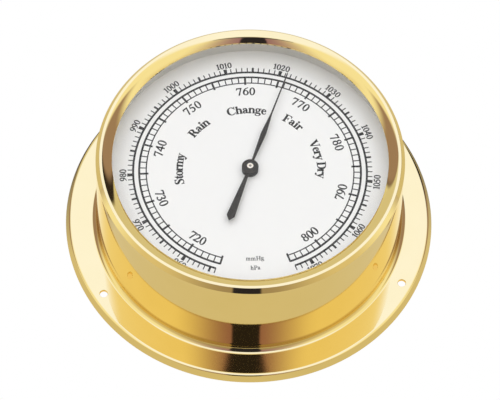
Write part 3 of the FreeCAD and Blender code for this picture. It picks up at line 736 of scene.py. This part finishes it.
def light_letters():
    """Upright roman of regular weight: figures, and the letters of the two units."""
    s = 82
    six = bowl(254, 206, 210, 220, 86, 26) + stroke((88, 236, 84), (108, 372, 80), (180, 510, 58),
                                                    (292, 612, 38), (440, 680, 14))
    shoulder = stroke((165, 350, 20), (225, 412, 44), (290, 424, 62), (345, 370, 76), (352, 280, s))
    shoulder += bar(352, 0, 352, 300, s) + serif(276, 438, 0, 352, s)
    letters = {
        "0": (500, bowl(250, 330, 214, 346, 88, 26)),
        "1": (360, bar(190, 0, 190, CAP - 20, s) + serif(62, 318, 0, 190, s, thick=20, bracket=16)
              + [[(231, CAP), (214, CAP), (48, 590), (48, 568), (149, 600), (231, 600)]]),
        "2": (500, stroke((44, 496, 20), (92, 600, 50), (188, 640, 70), (298, 606, 88), (346, 500, 90),
                          (312, 376, 78), (212, 220, 46), (44, 40, 24))
              + [[(30, 0), (424, 0), (476, 142), (454, 146), (410, 84), (370, 74), (92, 74), (30, 22)]]),
        "3": (500, stroke((58, 524, 20), (112, 618, 50), (206, 644, 64), (298, 596, 82), (322, 516, 82),
                          (272, 420, 56), (168, 356, 20))
              + stroke((160, 352, 20), (280, 330, 56), (366, 240, 88), (362, 122, 86), (272, 28, 54),
                       (150, 4, 40), (86, 30, 52)) + ball(76, 44, 42)),
        "4": (500, bar(335, 0, 335, CAP, s) + slab(12, 166, 472, 232)
              + [[(376, CAP), (306, CAP), (12, 232), (12, 190), (64, 200), (300, 560)]]),
        "5": (500, [[(166, 560), (140, 560), (182, CAP - 12), (394, CAP - 12), (432, CAP + 18), (396, 590),
                     (180, 590)]]
              + bar(166, 600, 86, 376, 28)
              + stroke((84, 384, 26), (190, 392, 62), (300, 342, 84), (362, 230, 92),
                       (332, 92, 74), (226, 12, 42), (120, 4, 38), (70, 24, 40))
              + ball(66, 38, 38)),
        "6": (500, six),
        "7": (500, [[(20, 500), (44, 500), (92, 584), (120, 592), (440, 592), (452, 662), (66, 662)]]
              + bar(418, 640, 214, -8, 48, 78)),
        "8": (500, bowl(250, 506, 170, 168, 76, 26) + bowl(250, 180, 206, 194, 84, 26)),
        "9": (500, half_turn(six, 250, 331)),
        "m": (778, stem_letter(110, s, 440, (86, 86)) + shoulder
              + [[(x + 242, y) for x, y in mark] for mark in shoulder]),
        "h": (500, stem_letter(110, s, CAP, (86, 86)) + shoulder),
        "H": (722, bar(154, 0, 154, CAP, 100) + bar(568, 0, 568, CAP, 100) + slab(154, 322, 568, 360)
              + serif(20, 288, 0, 154, 100) + serif(434, 702, 0, 568, 100)
              + serif(20, 288, CAP, 154, 100, -1) + serif(434, 702, CAP, 568, 100, -1)),
        "P": (556, bar(154, 0, 154, CAP, 100) + serif(20, 298, 0, 154, 100) + slab(20, 648, 300, CAP)
              + slab(154, 300, 300, 334) + bowl(296, 488, 234, 188, 104, 34, -90, 90)),
        "a": (444, stroke((290, 60, 70), (296, 180, s), (296, 310, s), (262, 410, 70), (196, 444, 34),
                          (120, 420, 36), (86, 370, 40)) + ball(88, 350, 42)
              + stroke((290, 280, 30), (190, 242, 50), (100, 180, 78), (84, 96, 84), (138, 26, 50),
                       (212, 34, 30), (290, 100, 30))
              + stroke((296, 110, s), (318, 50, 62), (364, 24, 30), (440, 52, 20))),
        "g": (500, bowl(212, 312, 168, 150, 80, 28) + stroke((322, 400, 30), (390, 426, 36), (470, 426, 40))
              + stroke((150, 178, 24), (104, 120, 40), (124, 66, 60), (232, 44, 80), (356, 20, 84),
                       (414, -56, 76), (372, -150, 44), (236, -196, 30), (98, -168, 46), (52, -104, 52),
                       (90, -40, 34), (150, 0, 24))),
    }
    return letters


def lettering(text, letters, em, weight, radius, centre, span=None, flipped=False):
    """Areas of a text set round the dial on a baseline of the given radius.

    weight fattens the strokes, in thousandths of an em. centre is the clockwise angle of the text's middle.
    span, if given, is the angle between the first letter's left edge and the last one's right edge.
    Flipped text has its tops towards the dial's centre."""
    widths = [letters[c][0] for c in text]
    total = sum(widths)
    natural = math.degrees(total * em / 1000 / radius)
    stretch = span / natural if span else 1.0
    side = -1.0 if flipped else 1.0
    areas = []
    before = 0.0
    for char, width in zip(text, widths):
        middle = before + width / 2 - total / 2
        angle = math.radians(centre + side * math.degrees(middle * em / 1000 / radius) * stretch)
        out = (math.sin(angle), math.cos(angle))
        right = (side * out[1], -side * out[0])
        before += width
        if not letters[char][1]:
            continue
        flat, triangles = joined(letters[char][1], weight)
        placed = []
        for x, y in flat:
            u = (x - width / 2) * em / 1000
            v = side * y * em / 1000
            placed.append((out[0] * (radius + v) + right[0] * u, out[1] * (radius + v) + right[1] * u))
        areas.append((placed, triangles))
    return areas


# ------------------------------ printing: the dial
MMHG_STEP = 3.6          # degrees per mmHg; 760 stands at twelve o'clock
MMHG_RANGE = (715, 805)
HPA_STEP = 2.7           # degrees per hPa
HPA_RANGE = (954, 1073)
HPA_ZERO = 1013.25 + 0.65 / HPA_STEP    # hPa at twelve o'clock; the outer scale stands 0.65 degrees off
MMHG_CIRCLES = (30.2, 32.25)
HPA_CIRCLE = 34.0
FLIPPED_BEYOND = 95.0    # degrees from twelve o'clock


def mmhg_angle(value):
    return (value - 760) * MMHG_STEP


def hpa_angle(value):
    return (value - HPA_ZERO) * HPA_STEP


def print_numbers(name, values, angle_of, figures, em, weight, middle):
    """Numbers centred on a circle of radius middle, with their tops inwards in the dial's lower part."""
    areas = []
    half = CAP * em / 1000 / 2
    for value in values:
        angle = angle_of(value)
        flipped = abs(angle) > FLIPPED_BEYOND
        baseline = middle + (half if flipped else -half)
        areas += lettering(str(value), figures, em, weight, baseline, angle, None, flipped)
    printed(name, areas)


def print_mmhg_scale(figures):
    inner, outer = MMHG_CIRCLES
    first, last = (mmhg_angle(v) for v in MMHG_RANGE)
    marks = band(outer, 0.60, first, last) + band(inner, 0.36, first, last)
    for value in range(MMHG_RANGE[0] + 1, MMHG_RANGE[1]):
        if value % 5:
            marks.append(tick(mmhg_angle(value), inner, outer, 0.33))
        else:
            marks.append(tick(mmhg_angle(value), inner - 0.65, outer + 0.2, 0.60))
    for end in (first, last):
        marks.append(tick(end, inner - 0.65, outer + 0.2, 0.55))
    printed("scale_mmhg", [joined(marks)])
    print_numbers("numbers_mmhg", range(720, 801, 10), mmhg_angle, figures, 3.7, 25.0, 27.3)


def print_hpa_scale(figures):
    first, last = (hpa_angle(v) for v in HPA_RANGE)
    marks = band(HPA_CIRCLE, 0.60, first, last)
    for value in range(HPA_RANGE[0], HPA_RANGE[1] + 1):
        angle = hpa_angle(value)
        if value % 10 == 0:
            marks.append(tick(angle, HPA_CIRCLE, HPA_CIRCLE + 1.7, 0.85, 1.05))
        elif value % 5 == 0:
            marks.append(tick(angle, HPA_CIRCLE, HPA_CIRCLE + 1.65, 0.62))
        else:
            marks.append(tick(angle, HPA_CIRCLE, HPA_CIRCLE + 1.6, 0.31))
    printed("scale_hpa", [joined(marks)])
    print_numbers("numbers_hpa", range(960, 1071, 10), hpa_angle, figures, 2.65, 30.0, 37.0)


WEATHER_WORDS = (("Stormy", -86.5, 29.0), ("Rain", -43.5, 20.0), ("Change", 0.0, 32.7),
                 ("Fair", 40.4, 18.5), ("Very Dry", 81.8, 36.0))


def print_words(figures):
    letters = bold_letters()
    areas = []
    for word, centre, span in WEATHER_WORDS:
        areas += lettering(word, letters, 3.85, 12.0, 19.6, centre, span)
    printed("weather_words", areas)
    areas = lettering("mmHg", figures, 1.9, 16.0, 30.0, 180.0, None, True)
    areas += lettering("hPa", figures, 1.9, 16.0, 33.0, 180.0, None, True)
    printed("unit_names", areas)


# ------------------------------ studio
CAMERA_AZIMUTH = -4.016
CAMERA_ELEVATION = 60.117
CAMERA_DISTANCE = 0.700
CAMERA_TILT = 0.4326     # degrees the view is turned up from the origin
CAMERA_PAN = 0.017       # degrees the view is turned to the right
CAMERA_ROLL = 1.4834     # degrees
LENS = 167.33


def swung(first, second, angle):
    """Two axes at right angles, swung in their plane: the first goes towards the second."""
    cos, sin = math.cos(angle), math.sin(angle)
    return first * cos + second * sin, second * cos - first * sin


def make_camera():
    azimuth = math.radians(CAMERA_AZIMUTH)
    elevation = math.radians(CAMERA_ELEVATION)
    tilt = math.radians(CAMERA_TILT)
    pan = math.radians(CAMERA_PAN)
    roll = math.radians(CAMERA_ROLL)
    back = Vector((math.sin(azimuth) * math.cos(elevation), -math.cos(azimuth) * math.cos(elevation),
                   math.sin(elevation)))
    right = Vector((math.cos(azimuth), math.sin(azimuth), 0.0))
    forward = -back
    up = right.cross(forward)
    forward, up = swung(forward, up, tilt)
    forward, right = swung(forward, right, pan)
    right, up = swung(right, up, roll)
    data = bpy.data.cameras.new("camera")
    data.lens = LENS
    data.sensor_width = 36.0
    camera = bpy.data.objects.new("camera", data)
    axes = Matrix((right, up, -forward)).transposed()
    camera.matrix_world = Matrix.Translation(back * CAMERA_DISTANCE) @ axes.to_4x4()
    bpy.context.scene.collection.objects.link(camera)
    bpy.context.scene.camera = camera


FLOOR_R = 0.6
FLOOR_TURNS = 128
FLOOR_LIP = 0.0002  # metres inside the flange where the floor under the case begins
SHADE_Y = (-0.010, 0.025)  # metres from front to back over which the shadow begins
SHADE_R = (0.058, 0.070)  # metres from the axis over which it fades
FLOOR_SHEEN = (0.733, 0.677, 0.497)  # the floor as the brass sees it
FLOOR_SHADE = (0.10, 0.075, 0.05)  # its shadow close behind the case
UNDER_CASE_GLOW = (0.93, 0.70, 0.27)  # painted golden glow: the floor under the flange, seen through its holes
TENT = (1.06, 1.07, 0.95)  # the light tent's sides
WINDOW = (1.13, 1.28, 2.00)  # its cool bright back
DIAL_LIGHT = 1.72  # the tent's light on matt surfaces
DIM = (0.36, 0.22, 0.40)  # beside the camera's opening
DIM_LOW = (0.40, 0.33, 0.26)  # the same, low down
TENT_LOW = (0.80, 0.72, 0.52)  # the tent's foot at the front
HAZE = (0.10, 0.075, 0.06)  # below the horizon at the front
CORNER = (0.38, 0.28, 0.28)  # the tent's dim sides towards the back
CORNER_EDGE = (0.035, 0.028, 0.03)  # the slanted gap between them and its back
BACK_LOW = (0.76, 0.74, 0.63)  # the back's lower part
DARK = (0.026, 0.025, 0.045)  # the opening for the camera

# Where each part of the tent begins and where it is full, in degrees. Azimuth is measured from the camera's
# side, both ways alike, and elevation from the horizon. A span that goes down fades out.
BACK = ((125.0, 160.0), (40.0, 55.0))        # azimuth and elevation of the bright back
LOW_BACK = ((120.0, 140.0), (58.0, 46.0))
CORNERS = ((92.0, 112.0), (56.0, 50.0))
FRONT_END = ((60.0, 90.0), (18.0, 50.0))     # where the front's foot ends, to the side and above
HAZE_END = ((70.0, 90.0), (-0.5, 1.5))
ROOF = (66.0, 76.0)              # elevation
WINGS = (8.0, 58.0)              # azimuth over which the dimness beside the opening fades
GAP_START = (125.5, 133.0)       # azimuth of the gap's near edge at the horizon
GAP_END = (132.5, 129.5)         # and of its far edge
GAP_LEAN = (-0.30, -0.24)        # how both slant, per degree of elevation
GAP_LEAN_RIGHT = -0.31           # added to the far edge's slant on the right
SLIT = ((0.0, 60.0), (7.5, 10.4))    # elevation over which the opening widens, and half its width
FAN = ((65.5, 70.0), (0.0, 32.0))    # the same for what its fanned top adds
SLIT_BLUR = (-0.8, 0.8)
SLIT_TOP = (69.0, 72.0)
SOFT_RISE = (12.0, 62.0)         # elevation over which the light on matt surfaces grows
SOFT_TILT = 0.25                 # how much stronger it is from the back


def make_floor():
    """Plain white floor, which the brass sees tinted, with a painted shadow behind the case and a painted
    golden glow under it.
    """
    shape = Shape()
    rim = circle(FLOOR_R / MM, FLOOR_TURNS)
    for (ax, ay), (bx, by) in zip(rim, rim[1:] + rim[:1]):
        shape.flat([(0.0, 0.0, 0.0), (ax, ay, 0.0), (bx, by, 0.0)], (0, 0, 1))
    nodes = Nodes("pale_floor")
    nodes.tree.nodes.remove(nodes.shader)
    path = nodes.add("ShaderNodeLightPath")
    seen = nodes.add("ShaderNodeEmission")
    seen.inputs["Strength"].default_value = 1.0
    mirrored = nodes.add("ShaderNodeEmission")
    place = nodes.add("ShaderNodeNewGeometry")
    reach = nodes.add("ShaderNodeVectorMath", operation="LENGTH")
    nodes.link(place.outputs["Position"], reach.inputs[0])
    beyond = nodes.spread(reach.outputs["Value"], 0.0, 1.0, FLANGE_R * MM - FLOOR_LIP, FLANGE_R * MM)
    axes = nodes.add("ShaderNodeSeparateXYZ")
    nodes.link(place.outputs["Position"], axes.inputs[0])
    shade = nodes.add("ShaderNodeMath", operation="MULTIPLY")
    nodes.link(nodes.spread(axes.outputs["Y"], 0.0, 1.0, *SHADE_Y), shade.inputs[0])
    nodes.link(nodes.spread(reach.outputs["Value"], 1.0, 0.0, *SHADE_R), shade.inputs[1])
    around = nodes.between(shade.outputs[0], FLOOR_SHEEN, FLOOR_SHADE)
    # painted golden glow on the floor under the flange, which only rays that aren't from the camera see
    below = nodes.add("ShaderNodeMix", data_type="RGBA")
    below.inputs["A"].default_value = (*UNDER_CASE_GLOW, 1.0)
    nodes.link(around, below.inputs["B"])
    nodes.link(beyond, below.inputs["Factor"])
    nodes.link(below.outputs["Result"], mirrored.inputs["Color"])
    mix = nodes.add("ShaderNodeMixShader")
    nodes.link(path.outputs["Is Camera Ray"], mix.inputs["Fac"])
    nodes.link(mirrored.outputs["Emission"], mix.inputs[1])
    nodes.link(seen.outputs["Emission"], mix.inputs[2])
    nodes.link(mix.outputs["Shader"], nodes.tree.nodes["Material Output"].inputs["Surface"])
    floor = shape.make("floor", nodes.material)


def make_tent():
    """Light tent that the gloss mirrors: bright back and roof, dim sides, and a dark opening at the camera.

    Matt surfaces get a soft white light instead, and the camera sees plain white."""
    world = bpy.data.worlds.new("light_tent")
    bpy.context.scene.world = world
    world.use_nodes = True
    tree = world.node_tree
    tree.nodes.clear()

    def add(kind, **settings):
        node = tree.nodes.new(kind)
        for name, value in settings.items():
            setattr(node, name, value)
        return node

    def feed(socket, source):
        if isinstance(source, (int, float)):
            socket.default_value = source
        else:
            tree.links.new(source, socket)

    def math_node(operation, *sources):
        node = add("ShaderNodeMath", operation=operation)
        for socket, source in zip(node.inputs, sources):
            feed(socket, source)
        return node.outputs[0]

    def ramp(source, from_min, from_max, to_min=0.0, to_max=1.0):
        node = add("ShaderNodeMapRange", interpolation_type="SMOOTHSTEP")
        feed(node.inputs["Value"], source)
        settings = {"From Min": from_min, "From Max": from_max, "To Min": to_min, "To Max": to_max}
        for name, number in settings.items():
            node.inputs[name].default_value = number
        return node.outputs["Result"]

    def mix(factor, a, b):
        node = add("ShaderNodeMix", data_type="RGBA")
        feed(node.inputs["Factor"], factor)
        for socket, colour in ((node.inputs["A"], a), (node.inputs["B"], b)):
            if isinstance(colour, tuple):
                socket.default_value = (*colour, 1.0)
            else:
                tree.links.new(colour, socket)
        return node.outputs["Result"]

    direction = add("ShaderNodeTexCoord")
    turned = add("ShaderNodeVectorRotate", rotation_type="Z_AXIS")
    turned.inputs["Angle"].default_value = -math.radians(CAMERA_AZIMUTH)
    tree.links.new(direction.outputs["Generated"], turned.inputs["Vector"])
    split = add("ShaderNodeSeparateXYZ")
    tree.links.new(turned.outputs["Vector"], split.inputs["Vector"])
    toward_camera = math_node("MULTIPLY", split.outputs["Y"], -1.0)
    azimuth = math_node("ABSOLUTE", math_node("ARCTAN2", split.outputs["X"], toward_camera))
    azimuth = math_node("DEGREES", azimuth)
    elevation = math_node("DEGREES", math_node("ARCSINE", split.outputs["Z"]))
    back = math_node("MULTIPLY", ramp(azimuth, *BACK[0]), ramp(elevation, *BACK[1]))
    back = math_node("MAXIMUM", back, ramp(elevation, *ROOF))
    low_back = math_node("MULTIPLY", ramp(azimuth, *LOW_BACK[0]), ramp(elevation, *LOW_BACK[1]))
    sides = mix(back, mix(low_back, TENT, BACK_LOW), WINDOW)
    gap_start = math_node("MULTIPLY_ADD", elevation, GAP_LEAN[0], azimuth)
    on_right = math_node("GREATER_THAN", split.outputs["X"], 0.0)
    lean = math_node("MULTIPLY_ADD", on_right, GAP_LEAN_RIGHT, GAP_LEAN[1])
    gap_end = math_node("MULTIPLY_ADD", elevation, lean, azimuth)
    corner = mix(ramp(gap_start, *GAP_START), CORNER, CORNER_EDGE)
    in_corner = math_node("MULTIPLY", ramp(azimuth, *CORNERS[0]), ramp(gap_end, *GAP_END))
    in_corner = math_node("MULTIPLY", in_corner, ramp(elevation, *CORNERS[1]))
    sides = mix(in_corner, sides, corner)
    high = ramp(elevation, *FRONT_END[1])
    near = mix(high, DIM_LOW, DIM)
    far = mix(math_node("MAXIMUM", high, ramp(azimuth, *FRONT_END[0])), TENT_LOW, sides)
    wings = mix(ramp(azimuth, *WINGS), near, far)
    clear = math_node("MAXIMUM", ramp(elevation, *HAZE_END[1]), ramp(azimuth, *HAZE_END[0]))
    haze = mix(clear, HAZE, wings)
    half_width = math_node("ADD", ramp(elevation, *SLIT[0], *SLIT[1]), ramp(elevation, *FAN[0], *FAN[1]))
    past_edge = math_node("SUBTRACT", azimuth, half_width)
    slit = mix(ramp(past_edge, *SLIT_BLUR), DARK, haze)
    room = mix(ramp(elevation, *SLIT_TOP), slit, sides)
    light = add("ShaderNodeBackground")
    tree.links.new(room, light.inputs["Color"])
    plain = add("ShaderNodeBackground")
    path = add("ShaderNodeLightPath")
    choose = add("ShaderNodeMixShader")
    direct = math_node("SUBTRACT", 1.0, path.outputs["Is Glossy Ray"])
    tree.links.new(direct, choose.inputs["Fac"])
    tree.links.new(light.outputs["Background"], choose.inputs[1])
    plain.inputs["Color"].default_value = (1.0, 1.0, 1.0, 1.0)
    from_back = math_node("MULTIPLY_ADD", split.outputs["Y"], SOFT_TILT, 1.0)
    soft = math_node("MULTIPLY", ramp(elevation, *SOFT_RISE), DIAL_LIGHT)
    soft = math_node("MULTIPLY", soft, from_back)
    strength = math_node("ADD", math_node("MULTIPLY", path.outputs["Is Diffuse Ray"], soft),
                         path.outputs["Is Camera Ray"])
    tree.links.new(strength, plain.inputs["Strength"])
    tree.links.new(plain.outputs["Background"], choose.inputs[2])
    out = add("ShaderNodeOutputWorld")
    tree.links.new(choose.outputs["Shader"], out.inputs["Surface"])


# ------------------------------ put together
make_camera()
make_floor()
make_tent()
bpy.context.scene.view_settings.view_transform = "Standard"
dress_cad_nodes()
make_case()
make_bezel()
FIGURES = light_letters()
print_mmhg_scale(FIGURES)
print_hpa_scale(FIGURES)
print_words(FIGURES)
